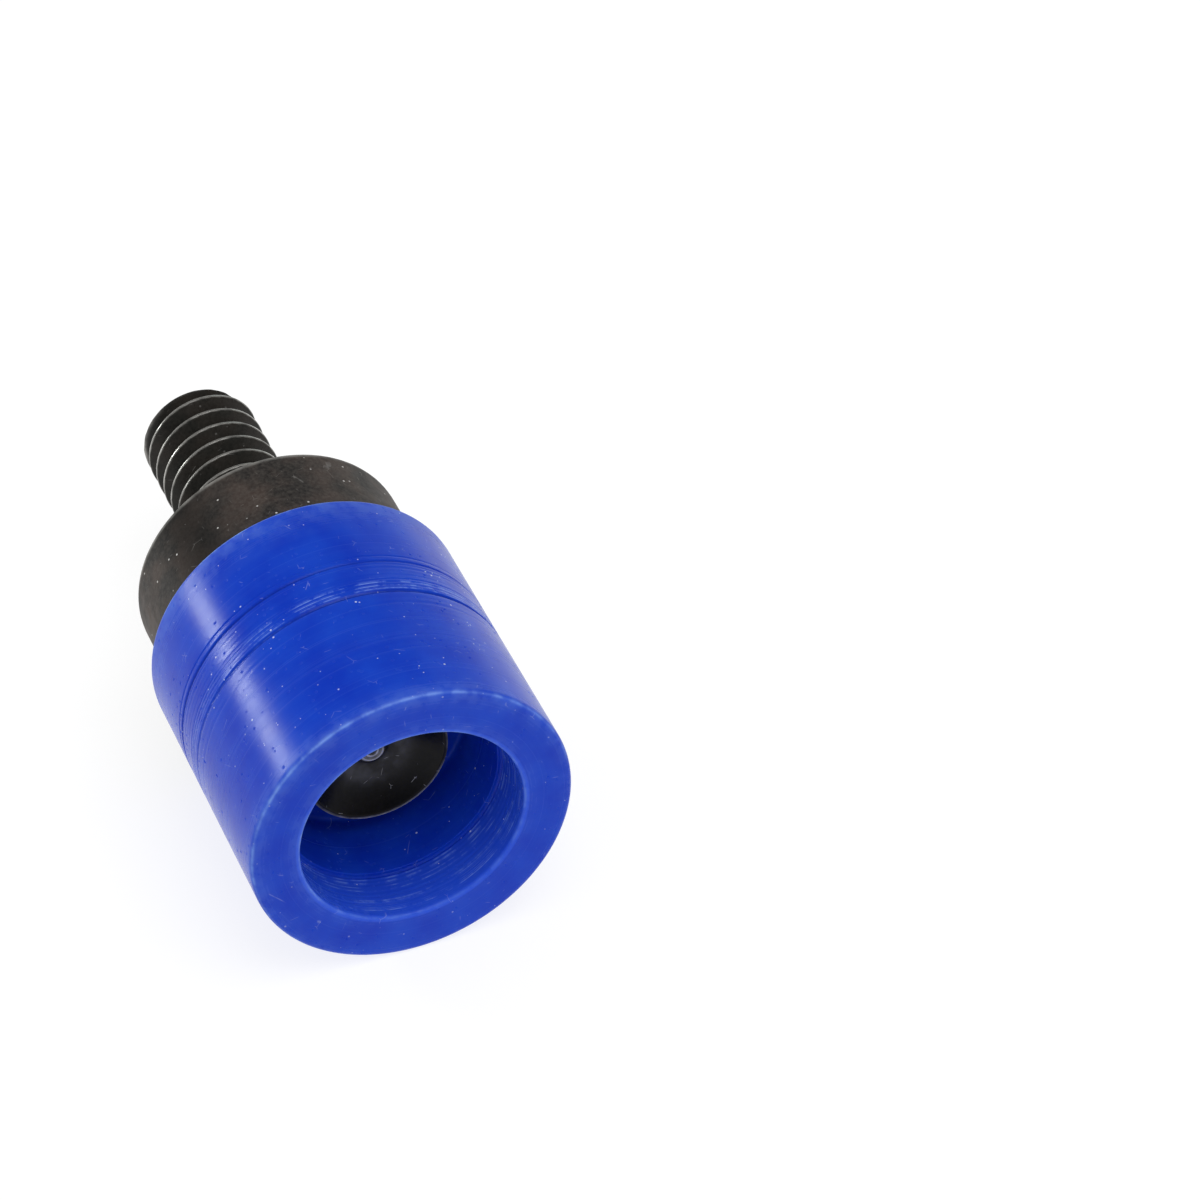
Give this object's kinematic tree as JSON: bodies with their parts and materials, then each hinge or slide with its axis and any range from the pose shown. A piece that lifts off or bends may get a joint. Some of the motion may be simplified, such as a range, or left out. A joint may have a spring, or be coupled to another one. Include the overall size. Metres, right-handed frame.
{
  "type": "snap button die",
  "caption": "Hand-press upper die for snap buttons: black threaded steel body and collar, dished punch, and a sprung blue nylon guide sleeve round it.",
  "frame": {"origin": "centre of the sleeve's mouth face, which is the foot of the die as it stands on its mouth", "axes": "+Z along the die axis from the mouth towards the thread, as the die hangs in the press"},
  "size_m": [0.017, 0.017, 0.0345],
  "materials": {
    "blackened_steel": "turned steel, black oxide, satin",
    "punch_steel": "hardened steel, blackened and polished in the dish",
    "spring_steel": "flat die-spring wire",
    "blue_nylon": "turned nylon rod, satin with fine lathe marks"
  },
  "bodies": {
    "die": {"threaded_body": "blackened_steel", "punch": "punch_steel"},
    "spring": {"return_spring": "spring_steel"},
    "sleeve": {"guide_sleeve": "blue_nylon"}
  },
  "joints": [
    {"name": "sleeve_spin", "type": "hinge", "parent": "die", "child": "spring", "pos_m": [0, 0, 0.014], "axis": [0, 0, 1], "continuous": true},
    {"name": "sleeve_slide", "type": "slide", "parent": "spring", "child": "sleeve", "axis": [0, 0, 1], "range_m": [0, 0.0045], "stiffness_N_per_m": 1150, "springref_m": -0.0022, "deforming": ["return_spring"]}
  ]
}
